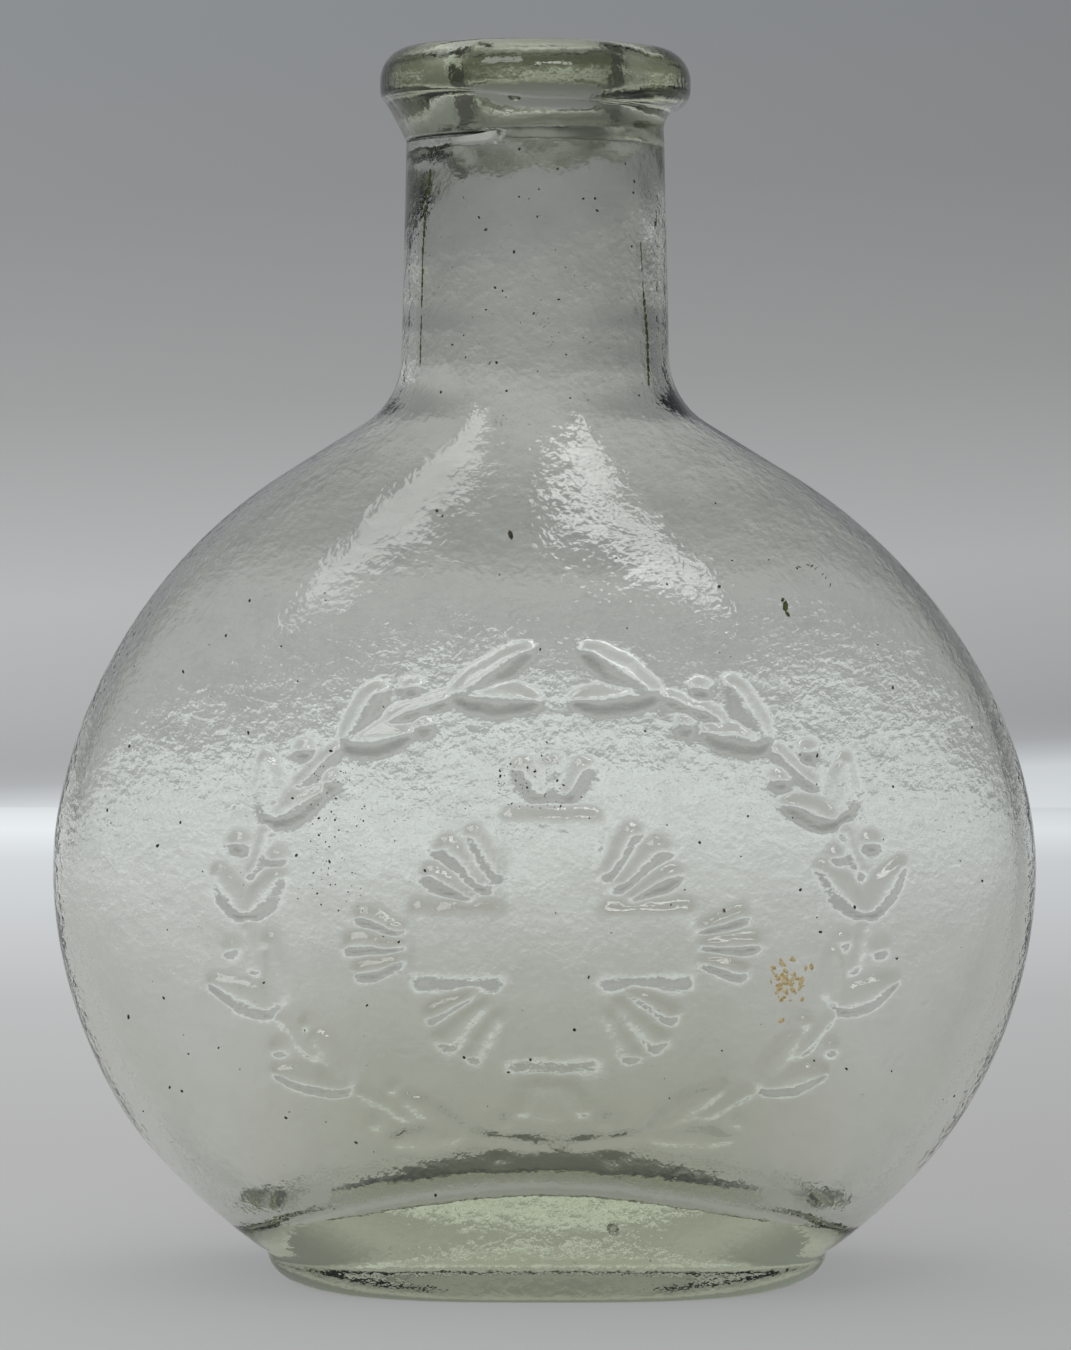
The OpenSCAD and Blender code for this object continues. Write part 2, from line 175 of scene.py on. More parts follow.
def blade(x, z, a, turn, length, width, sides):
    """Height of a leaf, ray or stem from a at heading turn, with its half widths at even steps."""
    c, s = math.cos(turn), math.sin(turn)
    u = ((x - a[0]) * c + (z - a[1]) * s) / length
    v = -(x - a[0]) * s + (z - a[1]) * c
    w = np.interp(u, np.linspace(0, 1, len(sides)), sides) * width / 2
    ends = smooth((u + 0.06) / 0.14) * smooth((1.06 - u) / 0.14)
    q = np.clip(1 - (v / (w + 0.4)) ** 2, 0, 1)
    return np.where((u > -0.1) & (u < 1.1), q ** 1.1 * ends, 0)


def dome(x, z, p, r):
    return 0.85 * smooth(1 - np.hypot(x - p[0], z - p[1]) / (1.25 * r))


def cross(x, z):
    return [np.maximum(bar(x, z, CROSS_X, CROSS_Z, UPRIGHT_W, CROSS_H),
                       bar(x, z, CROSS_X, LEVEL_Z, CROSS_W, LEVEL_W))]


def fan(x, z, start, turn, apart, long, short, wide):
    """Three rays side by side: the middle one has heading turn, length long and wide times the width."""
    out = []
    for i in (-1, 0, 1):
        a = (start[0] - math.sin(turn) * RAY_GAP * i, start[1] + math.cos(turn) * RAY_GAP * i)
        length, share = (long, wide) if i == 0 else (short, 1)
        out.append(0.95 * blade(x, z, a, turn + apart * i, length, RAY_W * share, RAY_SIDES))
    return out


def rays(x, z):
    """Four fans in the corners of the cross and four at its ends."""
    out = []
    for sx in (-1, 1):
        for sz in (-1, 1):
            start = (CROSS_X + sx * (UPRIGHT_W / 2 + 1.7), LEVEL_Z + sz * (LEVEL_W / 2 + 1.7))
            out += fan(x, z, start, math.atan2(sz, sx), math.radians(17), RAY_LEN, 0.88 * RAY_LEN, 1.5)
    for s in (-1, 1):
        side, end = (CROSS_X + s * (CROSS_W / 2 + 0.9), LEVEL_Z), (CROSS_X, CROSS_Z + s * (CROSS_H / 2 + 1.5))
        out += fan(x, z, side, math.pi / 2 * (1 - s), math.radians(20), 0.88 * RAY_LEN, 0.75 * RAY_LEN, 1)
        out += fan(x, z, end, math.pi / 2 * s, math.radians(28), 0.62 * RAY_LEN, 0.64 * RAY_LEN, 0.6)
    return out


def stem(t, s):
    return (CROSS_X + 0.4 + s * WREATH_W / 2 * math.sin(t), CROSS_Z + 2.6 - WREATH_H / 2 * math.cos(t))


def stem_turn(t, s):
    return math.atan2(WREATH_H * math.sin(t), s * WREATH_W * math.cos(t))


def leaf_pair(x, z, t, s, odd):
    """Two leaves from one place on the stem, longer and closer to it where the wreath runs level."""
    level = math.cos(t) ** 2
    out = []
    for side in (-1, 1):
        spread = math.radians(LEAF_SPREAD + odd.normal() * 5) * (1 - 0.65 * level)
        longer, wider = odd.uniform(0.88, 1.12), odd.uniform(0.8, 1.15)
        out.append(blade(x, z, stem(t, s), stem_turn(t, s) + side * spread,
                         longer * LEAF_LEN * (1 + 0.3 * level), wider * LEAF_W, LEAF_SIDES))
    return out


def berry_pair(x, z, t, s):
    """Two berries, one to each side of the stem."""
    o = stem_turn(t, s) + math.pi / 2
    p = stem(t, s)
    ends = [(p[0] + side * BERRY_GAP / 2 * math.cos(o), p[1] + side * BERRY_GAP / 2 * math.sin(o))
            for side in (-1, 1)]
    return [dome(x, z, end, BERRY_D / 2 + 0.1) for end in ends]


def wreath(x, z):
    """Two branches of leaves, berries and bits of stem that rise from the bottom to the top."""
    odd = np.random.default_rng(44)
    out = []
    for s in (-1, 1):
        for i in range(LEAVES):
            t = FIRST_LEAF + LEAF_PITCH * i
            out += leaf_pair(x, z, t, s, odd)
            out += berry_pair(x, z, t - 0.3 * LEAF_PITCH, s)
            a, b = stem(t - 0.6 * LEAF_PITCH, s), stem(t - 0.05 * LEAF_PITCH, s)
            way = math.atan2(b[1] - a[1], b[0] - a[0])
            out.append(0.6 * blade(x, z, a, way, math.dist(a, b), 1.0, STEM_SIDES))
    return out


def relief(x, z):
    """Height of all raised work, in millimetres, weaker near the foot."""
    x, z = x + waviness(x, z, 41, 5, 0.13), z + waviness(x, z, 43, 4.5, 0.13)
    fade = 0.4 + 0.6 * smooth((z - 15) / 9)
    return RELIEF_H * fade * np.max(cross(x, z) + rays(x, z) + wreath(x, z), axis=0)


# The glass: one closed skin, outside and hollow
def columns():
    """Angles of the columns: close together over the raised front, wider round the sides and back."""
    left, right = 270 - FRONT_HALF, 270 + FRONT_HALF
    front = np.radians(np.linspace(left, right, FRONT_COLUMNS))
    rest = np.radians(np.linspace(right, left + 360, REST_COLUMNS + 2))[1:-1]
    return np.concatenate([front, rest])


def ring(w, d, z, q, x0, t):
    """A section of half width w, half depth d and squareness q at the height z, with its middle at x0."""
    c, s = np.cos(t), np.sin(t)
    x = x0 + w * np.sign(c) * np.abs(c) ** (2 / q)
    y = d * np.sign(s) * np.abs(s) ** (2 / q)
    return np.stack([x, y, np.broadcast_to(z, x.shape).astype(float)], -1)


def foot_rings(t):
    """From the middle of the hollow under the foot over the resting ring and round the heel."""
    less, aside = uneven(0)
    foot_w, foot_d = FOOT_W / 2 - less, FOOT_D / 2
    flat_w, flat_d = foot_w - HEEL_ENDS, foot_d - HEEL_FRONT
    sizes = []
    for s in np.linspace(0.12, 1, 9):
        sizes.append(((flat_w - REST_RING) * s, (flat_d - REST_RING) * s, KICK_UP * (1 - s * s)))
    sizes.append((flat_w - REST_RING / 2, flat_d - REST_RING / 2, 0))
    for a in np.radians(np.linspace(0, 87, 13)):
        sizes.append((flat_w + HEEL_ENDS * math.sin(a), flat_d + HEEL_FRONT * math.sin(a),
                      FOOT_H * (1 - math.cos(a))))
    sizes.append((foot_w + 0.25, foot_d + 0.05, FOOT_H + 0.3))
    return [ring(w, d, z, FOOT_SQUARE, aside, t) for w, d, z in sizes]


def body_rings(t):
    """From above the foot to the lip, with a slight groove in front where the foot begins."""
    heights = np.concatenate([
        np.linspace(BODY_LOW_Z, RELIEF_LOW_Z, 9)[:-1],
        np.linspace(RELIEF_LOW_Z, RELIEF_TOP_Z, RELIEF_RINGS + 1)[:-1],
        np.linspace(RELIEF_TOP_Z, ARC_Z, 30)[:-1],
        np.linspace(ARC_Z, SWEEP_LOW_Z, 9)[:-1],
        SWEEP_Z - SWEEP * np.sin(np.linspace(math.pi / 2 - FALL, 0, 9))[:-1],
        np.linspace(SWEEP_Z, 126, 14)])
    rings = []
    for z in heights:
        less, aside = uneven(z)
        d = float(half_d(z)) - 0.44 * math.exp(-(z - BODY_LOW_Z) / 4)
        rings.append(ring(float(half_w(z)) - less, d, z, float(square_at(z)), float(shift_at(z)) + aside, t))
    return rings


def lip_rings(t):
    """The tooled lip: undercut on the right, run straight down into the neck on the left, a little uneven."""
    left = smooth((-np.cos(t - 0.25) - 0.1) / 0.75)

    def mix(right_side, left_side):
        return right_side * (1 - left) + left_side * left

    rings = []
    base = NECK_TOP_R + 0.03
    for u in np.linspace(0, 1, 8):
        r = mix(base + (LIP_R - LIP_LOW - base) * u ** 2.2, base + (LIP_LEFT_R - base) * u ** 1.15)
        z = mix(UNDER_RIGHT_Z + (LIP_Z - LIP_SAG - UNDER_RIGHT_Z) * u,
                UNDER_LEFT_Z + (LIP_LEFT_Z - UNDER_LEFT_Z) * u)
        rings.append((r, z))
    for a in np.radians(np.linspace(-90, 0, 7))[1:]:
        r = mix(LIP_R - LIP_LOW + LIP_LOW * math.cos(a), LIP_LEFT_R + (LIP_R - LIP_LEFT_R) * math.cos(a))
        z = mix(LIP_Z + LIP_LOW * (1 + math.sin(a)) - LIP_SAG * abs(math.sin(a)),
                LIP_LEFT_Z + (LIP_Z + LIP_LOW - LIP_LEFT_Z) * (1 + math.sin(a)))
        rings.append((r, z))
    for a in np.radians(np.linspace(0, 90, 11)):
        rings.append((LIP_R - LIP_TOP + LIP_TOP * math.cos(a) + 0 * t,
                      TOTAL_H - LIP_TOP + LIP_TOP * math.sin(a) + 0 * t))
    out = []
    for r, z in rings:
        k = np.minimum(1 + 0.006 * np.sin(2 * t + 0.7) + 0.003 * np.sin(5 * t + 1.9), 1.0)
        drop = 0.12 * (1 + np.sin(t + 2.2)) * smooth((z - LIP_Z) / 4)
        out.append(np.stack([r * np.cos(t) * k - NECK_SHIFT, r * np.sin(t) * k, z - drop], -1))
    return out


def neck_hollow_rings(t):
    """From the mouth's rounded edge over the ledge and down the bore, which leans a little to and fro."""
    rings = []
    top = TOTAL_H - MOUTH_ROUND
    low = top - MOUTH_LEN
    ledge = low - LEDGE_H

    def turned(r, z, lean=0.0):
        ripple = 0.035 * np.sin(9 * t + 0.9 * z) + 0.03 * np.sin(14 * t - 1.3 * z + 2)
        r = r + ripple * smooth((top - 2 - z) / 4) * smooth((z - 106) / 8)
        rings.append(np.stack([r * np.cos(t) - NECK_SHIFT + lean, r * np.sin(t), z + 0 * t], -1))

    for a in np.radians(np.linspace(90, 180, 7)):
        turned(MOUTH_R + MOUTH_ROUND + MOUTH_ROUND * math.cos(a), top + MOUTH_ROUND * math.sin(a) - 0.06)
    for u in np.linspace(0, 1, 5)[1:]:
        turned(MOUTH_R, top - MOUTH_LEN * u, MOUTH_LEAN * smooth(u))
    for u in np.linspace(0, 1, 13)[1:]:
        turned(MOUTH_R + (LEDGE_R - MOUTH_R) * smooth(u), low - LEDGE_H * u,
               MOUTH_LEAN + (LEDGE_LEAN - MOUTH_LEAN) * u)
    for u in np.linspace(0, 1, 13)[1:] ** 1.7:
        turned(LEDGE_R + (BORE_R - LEDGE_R) * math.sin(math.pi / 2 * u), ledge - TAPER * u,
               LEDGE_LEAN + (BORE_LEAN - LEDGE_LEAN) * smooth(u))
    for z in np.linspace(ledge - TAPER, RUN_TOP_Z, 5)[1:]:
        turned(BORE_R, z, BORE_LEAN)
    return rings


def body_hollow_rings(t):
    """From the bore down the shoulders and body to the floor, which is arched from side to side."""
    heights = np.concatenate([
        np.linspace(RUN_TOP_Z, ARC_Z, 24)[1:],
        np.linspace(ARC_Z, BASE_WALL + CORNER_H, 40)[1:],
        BASE_WALL + CORNER_H * (1 - np.cos(np.linspace(math.pi / 2, 0, 12)))[1:]])
    floor_w, floor_d = float(hollow_w(BASE_WALL)), FLOOR_SHARE * float(hollow_d(BASE_WALL))

    def arched(points, share):
        lift = FLOOR_ARCH * (0.5 + 0.5 * np.cos(math.pi * np.minimum(1, np.abs(points[:, 0]) / floor_w)))
        return points + np.stack([0 * lift, 0 * lift, share * lift], -1)

    rings = []
    for z in heights:
        u = 1 - min(1, (z - BASE_WALL) / CORNER_H)
        d = (FLOOR_SHARE + (1 - FLOOR_SHARE) * math.sqrt(max(0, 1 - u * u))) * float(hollow_d(z))
        aside = float(shift_at(z)) + BORE_LEAN * float(rise(z, ARC_Z, RUN_TOP_Z))
        section = ring(float(hollow_w(z)), d, z, float(square_at(z)), aside, t)
        rings.append(arched(section, 1 - float(rise(z, BASE_WALL, BASE_WALL + ARCH_FADE))))
    for s in np.linspace(0.92, 0.1, 9):
        z = BASE_WALL + FLOOR_RISE * (0.5 + 0.5 * math.cos(math.pi * s))
        rings.append(arched(ring(floor_w * s, floor_d * s, z, FOOT_SQUARE, 0, t), 1))
    return rings


def skin_lift(x, y, z):
    """How far the finished skin lies off the plain form: raised work outwards, ripples inwards."""
    front = (y < 0) & (z > 9) & (z < 73)
    raised = np.where(front, relief(x, z), 0) * smooth((-y - 6) / 4)
    body = smooth((z - 6) / 8) * smooth((TOTAL_H - 12 - z) / 6)
    edge = 1 - smooth((np.abs(x) - 40) / 10) * smooth((60 - np.abs(z - 43)) / 20)
    back = y > 0
    ripple = waviness(x, z + 40 * back, 5, 34, 0.08) + waviness(x, z + 70 * back, 8, 11, 0.013)
    shoulder = smooth((z - 66) / 10) * smooth((104 - z) / 6)
    ripple = ripple + (waviness(x, z + 30 * back, 31, 7, 0.022) - 0.02) * shoulder
    return raised + np.minimum(0, ripple) * body * edge


def outer_skin(t):
    """The foot and body with their raised work and ripples, laid along the outward direction."""
    skin = np.array(foot_rings(t) + body_rings(t))
    du = np.roll(skin, -1, 1) - np.roll(skin, 1, 1)
    dv = np.gradient(skin, axis=0)
    normal = np.cross(du, dv)
    normal /= np.maximum(np.linalg.norm(normal, axis=-1, keepdims=True), 1e-9)
    return skin + normal * skin_lift(skin[..., 0], skin[..., 1], skin[..., 2])[..., None]


def inner_skin(t):
    """The hollow, with ripples of its own on the faces."""
    skin = np.array(neck_hollow_rings(t) + body_hollow_rings(t))
    x, z = skin[..., 0], skin[..., 2]
    hollow = smooth((z - 9) / 8) * smooth((95 - z) / 10)
    back = skin[..., 1] > 0
    sway = waviness(x, z + 40 * back, 21, 30, 0.09) + waviness(x, z + 55 * back, 23, 12, 0.014)
    skin[..., 1] += np.sign(skin[..., 1]) * sway * hollow * smooth(np.abs(skin[..., 1]) / 6)
    return skin


def make_glass():
    t = columns()
    rings = np.concatenate([outer_skin(t), np.array(lip_rings(t)), inner_skin(t)])
    k, n = rings.shape[:2]
    poles = [[0, 0, KICK_UP], [0, 0, BASE_WALL + FLOOR_RISE + FLOOR_ARCH]]
    points = np.concatenate([rings.reshape(-1, 3), poles])
    i = np.arange(n)
    j = np.arange(k - 1)[:, None]
    a, b = j * n + i, j * n + (i + 1) % n
    quads = np.stack([a, b, b + n, a + n], -1).reshape(-1, 4)
    faces = [tuple(f) for f in quads.tolist()]
    low, high = k * n, k * n + 1
    last = (k - 1) * n
    faces += [(low, (m + 1) % n, m) for m in range(n)]
    faces += [(high, last + m, last + (m + 1) % n) for m in range(n)]
    points, faces = add_bubbles(points, faces)
    o = add_mesh("bottle_glass", points, faces, glass_material())
    o.data.polygons.foreach_set("use_smooth", np.ones(len(faces), bool))
    return o


def add_bubbles(points, faces):
    """Small bubbles: closed shells that face inwards, by place x, y, z and radii across and up."""
    spots = [(7.4, -6.0, 7.6, 0.75, 0.72), (-3.1, -12.6, 130.4, 0.7, 0.75)]
    for _ in range(7):
        place = (rng.uniform(-24, 24), rng.uniform(-10, 10), rng.uniform(3.5, 7.0))
        r = rng.uniform(0.08, 0.16)
        spots.append((*place, r, 1.1 * r))
    all_points, all_faces = [points], list(faces)
    base = len(points)
    u, v = 12, 8
    for cx, cy, cz, r, rz in spots:
        grid = [(cx, cy, cz + rz)]
        for q in range(1, v):
            p = math.pi * q / v
            grid += [(cx + r * math.sin(p) * math.cos(2 * math.pi * m / u),
                      cy + r * math.sin(p) * math.sin(2 * math.pi * m / u), cz + rz * math.cos(p))
                     for m in range(u)]
        grid.append((cx, cy, cz - rz))
        end = len(grid) - 1
        for m in range(u):
            n = (m + 1) % u
            all_faces.append((base, base + 1 + n, base + 1 + m))
            all_faces.append((base + end, base + end - u + m, base + end - u + n))
            for q in range(v - 2):
                a, b = base + 1 + q * u, base + 1 + (q + 1) * u
                all_faces.append((a + m, a + n, b + n, b + m))
        all_points.append(np.array(grid))
        base += len(grid)
    return np.concatenate(all_points), all_faces


def add_mesh(name, points, faces, mat):
    """An object of its own, from points in millimetres."""
    mesh = bpy.data.meshes.new(name)
    mesh.from_pydata((np.array(points) * MM).tolist(), [], faces)
    mesh.materials.append(mat)
    mesh.update()
    o = bpy.data.objects.new(name, mesh)
    bpy.context.scene.collection.objects.link(o)
    return o


# Dirt and painted shade: small flakes that sit in the skin
def skin_point(x, z, side):
    """Place on the finished skin over x and z, in front where side is -1, and the way it faces."""
    def plain(x, z):
        q = square_at(z)
        return side * half_d(z) * (1 - np.clip(np.abs(x - shift_at(z)) / half_w(z), 0, 0.999) ** q) ** (1 / q)

    e = 0.1
    gx = (plain(x + e, z) - plain(x - e, z)) / (2 * e)
    gz = (plain(x, z + e) - plain(x, z - e)) / (2 * e)
    way = np.stack([-side * gx, side * np.ones_like(gx), -side * gz], -1)
    way /= np.linalg.norm(way, axis=-1, keepdims=True)
    y = plain(x, z)
    return np.stack([x, y, z], -1) + way * skin_lift(x, y, z)[..., None], way


def flakes(name, rows, mat):
    """One piece of flat six-sided flakes; a row is x, z, side, half length, half width and lean in degrees.

    In front a flake stands out as far as it goes in, and on the back it lies inwards only."""
    rows = np.array(rows, float)
    places, ways = skin_point(rows[:, 0], rows[:, 1], rows[:, 2])
    points, faces = [], []
    for (x, z, side, long, wide, lean), p, way in zip(rows, places, ways):
        across = np.cross(way, [0, 0, 1])
        across /= np.linalg.norm(across)
        up = np.cross(across, way)
        a = math.radians(lean)
        u, v = math.cos(a) * across + math.sin(a) * up, math.cos(a) * up - math.sin(a) * across
        base = len(points)
        for m in range(6):
            k = rng.uniform(0.75, 1.1)
            corner = math.pi * m / 3
            points.append(p + k * (u * long * math.cos(corner) + v * wide * math.sin(corner)))
        out = FLAKE_THICK if side < 0 else 0.0
        points += [p + out * way, p - FLAKE_THICK * way]
        for m in range(6):
            n = (m + 1) % 6
            faces += [(base + m, base + n, base + 6), (base + n, base + m, base + 7)]
    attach(add_mesh(name, points, faces, mat), "root")


def scatter(n, box, side, low, high):
    """Seeded specks within a box of x0, x1, z0, z1, kept off the outline."""
    rows = []
    for _ in range(n):
        x, z = rng.uniform(box[0], box[1]), rng.uniform(box[2], box[3])
        if abs(x - float(shift_at(z))) < 0.93 * float(half_w(z)):
            r = low + (high - low) * rng.uniform() ** 3
            rows.append((x, z, side, r * rng.uniform(1, 1.8), r, rng.uniform(0, 180)))
    return rows


def chain(places, long, wide, gap=0.0):
    """Thin flakes end to end along a line of places in front, with a share of them left out."""
    rows = []
    for (x0, z0), (x1, z1) in zip(places, places[1:]):
        n = max(1, round(math.dist((x0, z0), (x1, z1)) / (1.5 * long)))
        for k in range(n):
            if rng.uniform() >= gap:
                u = (k + 0.5) / n
                rows.append((x0 + (x1 - x0) * u, z0 + (z1 - z0) * u, -1, long, wide * rng.uniform(0.6, 1.3),
                             math.degrees(math.atan2(z1 - z0, x1 - x0))))
    return rows


# Materials
class Tree:
    """The nodes of a material or of the room, with short calls for what repeats."""

    def __init__(self, owner):
        owner.use_nodes = True
        self.owner = owner
        self.nodes = owner.node_tree.nodes
        self.links = owner.node_tree.links

    def feed(self, node, inputs):
        """Set a node's inputs: each is a plain value or another node's output."""
        for key, value in inputs.items():
            if isinstance(value, bpy.types.NodeSocket):
                self.links.new(value, node.inputs[key])
            else:
                node.inputs[key].default_value = value
        return node

    def add(self, kind, inputs, operation=None):
        node = self.nodes.new("ShaderNode" + kind)
        if operation:
            node.operation = operation
        return self.feed(node, inputs)

    def noise(self, place, scale, detail=2.0):
        return self.add("TexNoise", {"Vector": place, "Scale": scale, "Detail": detail}).outputs["Fac"]

    def spread(self, value, low, high, to_low=0.0, to_high=1.0):
        """The value's run from low to high, made to run from to_low to to_high."""
        return self.add("MapRange", {"Value": value, "From Min": low, "From Max": high,
                                     "To Min": to_low, "To Max": to_high}).outputs["Result"]

    def ramp(self, value, stops):
        """A colour that runs through stops, each a place from 0 to 1 and a colour."""
        node = self.add("ValToRGB", {"Fac": value})
        steps = node.color_ramp.elements
        for n in (0, -1):
            steps[n].position = stops[n][0]
            steps[n].color = (*stops[n][1], 1)
        for place, colour in stops[1:-1]:
            steps.new(place).color = (*colour, 1)
        return node.outputs["Color"]


def new_material(name):
    tree = Tree(bpy.data.materials.new(name))
    tree.nodes.clear()
    return tree


def dirt_material(name, dark, light):
    tree = new_material(name)
    place = tree.add("TexCoord", {}).outputs["Object"]
    colour = tree.ramp(tree.noise(place, 2500), [(0.35, dark), (0.65, light)])
    dirt = tree.add("BsdfPrincipled", {"Roughness": 0.8, "Base Color": colour})
    tree.add("OutputMaterial", {"Surface": dirt.outputs["BSDF"]})
    return tree.owner


# Heights in millimetres and how much of each colour the glass lets through there: darker and greener low on
# the body, clearest at mid height, and round the lip a dark band of painted shade
CLEAR_LOW, CLEAR_TOP, CLEAR_SIDES = (0.95, 0.955, 0.92), (0.97, 0.975, 0.95), (0.985, 0.99, 0.975)
TINT_AND_PAINTED_SHADE = [(0, CLEAR_LOW), (9, CLEAR_LOW), (14, (0.86, 0.87, 0.80)), (20, (0.87, 0.88, 0.82)),
        # the dark band round the lip, from 130.3 to 133.9 mm, is painted shade
        (36, (0.955, 0.96, 0.94)), (56, (0.995, 1, 0.985)), (129.6, CLEAR_TOP), (130.3, (0.5, 0.52, 0.43)),
        (133, (0.54, 0.56, 0.46)), (133.9, (0.95, 0.955, 0.93)), (TOTAL_H, CLEAR_TOP)]
# Heights in millimetres and roughness there: smooth but for the place under the lip, where it is satin
SATIN = [(0, 0.04), (118, 0.04), (121.5, 0.15), (126.5, 0.15), (129, 0.04), (TOTAL_H, 0.04)]


def glass_tint(tree, place, height, slow):
    """The tint by height, with the lip's band of painted shade, none towards the sides, with a faint mottle.
    """
    tint_and_shade = tree.ramp(height, [(z / TOTAL_H, tint) for z, tint in TINT_AND_PAINTED_SHADE])
    aside = tree.add("Math", {0: place.outputs["X"]}, "ABSOLUTE").outputs[0]
    tone = tree.add("Mix", {})
    tone.data_type = "RGBA"
    tree.feed(tone, {"Factor": tree.spread(aside, 0.019, 0.036), "A": tint_and_shade, "B": (*CLEAR_SIDES, 1)})
    mottle = tree.spread(slow, 0.5, 0.8, 1.0, 0.93)
    return tree.add("VectorMath", {0: tone.outputs["Result"], "Scale": mottle}, "SCALE").outputs["Vector"]


def glass_skin(tree, coord, slow):
    """Orange-peel skin of fire-polished glass, with slower pulls under it and a fine grain over it."""
    fine = tree.noise(coord, 1150)
    both = tree.add("Math", {0: fine, 1: 0.6, 2: slow}, "MULTIPLY_ADD").outputs[0]
    grain = tree.noise(coord, 2600, 1.0)
    rough = tree.add("Math", {0: grain, 1: 0.095, 2: both}, "MULTIPLY_ADD").outputs[0]
    return tree.add("Bump", {"Strength": 1.0, "Distance": 0.00008, "Height": rough}).outputs["Normal"]


def glass_material():
    tree = new_material("old_clear_glass")
    coord = tree.add("TexCoord", {}).outputs["Object"]
    slow = tree.noise(coord, 260)
    place = tree.add("SeparateXYZ", {0: coord})
    height = tree.spread(place.outputs["Z"], 0, TOTAL_H * MM)
    glass = tree.add("BsdfPrincipled", {
        "Transmission Weight": 1.0,
        "IOR": 1.5,
        "Roughness": tree.ramp(height, [(z / TOTAL_H, (much, much, much)) for z, much in SATIN]),
        "Base Color": glass_tint(tree, place, height, slow),
        "Normal": glass_skin(tree, coord, slow)})
    depth = tree.add("VolumeAbsorption", {"Color": (0.50, 0.583, 0.194, 1), "Density": 19.0})
    tree.add("OutputMaterial", {"Surface": glass.outputs["BSDF"], "Volume": depth.outputs["Volume"]})
    return tree.owner


def srgb(v):
    v = v / 255
    return ((v + 0.055) / 1.055) ** 2.4 if v > 0.04045 else v / 12.92


def stage_material(name, along, stops, x_start, x_fall, lit_until):
    """A plain sheet with painted light and shade: its grey changes slowly along one direction and falls a
    little towards the right.

    A stop is a place in metres, a grey from 0 to 255 and how much bluer it is. Camera, mirror and
    through-glass rays see the greys as written from lit_until on, and 0.22 m before it for the larger
    part, where the rest is lit and takes shadow. All other rays see the sheet as lit."""
    tree = new_material(name)
    position = tree.add("NewGeometry", {}).outputs["Position"]
    reach = tree.add("VectorMath", {0: position, 1: along}, "DOT_PRODUCT").outputs["Value"]
    low, high = stops[0][0], stops[-1][0]
    greys = [((at - low) / (high - low), (srgb(grey), srgb(grey + 0.6 * blue), srgb(grey + blue)))
             for at, grey, blue in stops]
    colour = tree.ramp(tree.spread(reach, low, high), greys)
    across = tree.add("VectorMath", {0: position, 1: (x_fall, 0, 0)}, "DOT_PRODUCT").outputs["Value"]
    fade = tree.add("Math", {0: 1 + x_start * x_fall, 1: across}, "SUBTRACT")
    fade.use_clamp = True
    shade = tree.add("VectorMath", {0: colour, "Scale": fade.outputs[0]}, "SCALE").outputs["Vector"]
    path = tree.add("LightPath", {})
    seen = path.outputs["Is Camera Ray"]
    for kind in ("Is Glossy Ray", "Is Transmission Ray"):
        seen = tree.add("Math", {0: seen, 1: path.outputs[kind]}, "MAXIMUM").outputs[0]
    written = tree.spread(reach, lit_until - 0.22, lit_until, 0.7)
    part = tree.add("Math", {0: seen, 1: written}, "MULTIPLY").outputs[0]
    lit = tree.add("BsdfDiffuse", {"Color": shade}).outputs[0]
    glow = tree.add("Emission", {"Color": shade}).outputs[0]
    sheet_look = tree.add("MixShader", {0: part, 1: lit, 2: glow}).outputs[0]
    tree.add("OutputMaterial", {"Surface": sheet_look})
    return tree.owner


# Build
glass = make_glass()
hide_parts("bottle")
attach(glass, "root")


def make_specks():
    body, neck = (-50, 50, 12, 96), (-14, 13, 97, 124)
    rows = scatter(240, body, -1, 0.04, 0.2) + scatter(110, body, 1, 0.04, 0.16)
    rows += scatter(90, neck, -1, 0.05, 0.18) + scatter(50, neck, 1, 0.05, 0.18)
    # two small patches on the front where the dark specks lie thicker
    rows += scatter(70, (-5, 2.5, 54, 60), -1, 0.05, 0.14)
    rows += scatter(90, (-25, -19, 43, 59), -1, 0.05, 0.14)
    rows += [(-3.6, 82.9, -1, 0.55, 0.28, 75), (-2.7, 118.9, -1, 0.14, 0.12, 0),
             (-0.6, 119.7, -1, 0.14, 0.12, 0), (9.6, 119.6, -1, 0.2, 0.16, 0),
             (-9.9, 103.2, -1, 0.18, 0.14, 0)]
    flakes("dirt_specks", rows, dirt_material("dark_dirt", (0.012, 0.012, 0.006), (0.07, 0.06, 0.035)))


def make_stain():
    rows = [(26.0 + rng.normal() * 0.95, 35.2 + rng.normal() * 1.3, -1, rng.uniform(0.15, 0.5),
             rng.uniform(0.1, 0.3), rng.uniform(0, 180)) for _ in range(60)]
    flakes("dirt_stain", rows, dirt_material("ochre_stain", (0.5, 0.36, 0.13), (0.75, 0.64, 0.4)))


def make_moss_and_painted_edge_lines():
    rows = [(25.8, 75.2, -1, 0.75, 0.36, 100), (26.0, 74.4, -1, 0.4, 0.25, 60),
            (25.5, 75.9, -1, 0.35, 0.2, 130)]
    # painted shade: the four chains down both sides of the neck are dark lines in place of the dark edges of
    # the bore seen through the glass
    rows += chain([(10.4, 114.3), (10.7, 109)], 0.35, 0.12, 0.35)
    rows += chain([(10.7, 109), (11.2, 103.5), (11.4, 98.8)], 0.5, 0.32, 0.1)
    rows += chain([(-12.3, 122.2), (-12.9, 117.5), (-13.2, 113)], 0.6, 0.3)
    rows += chain([(-13.2, 113), (-13.3, 108), (-13.5, 101)], 0.5, 0.22, 0.1)
    rows += chain([(27.1, 79.3), (28.6, 79.6), (30.2, 78.4), (30.9, 77.2)], 0.3, 0.07, 0.25)
    flakes("dirt_moss_and_painted_edge_lines", rows, dirt_material("olive_dirt_and_painted_shade", (0.028, 0.034, 0.008), (0.1, 0.11, 0.035)))


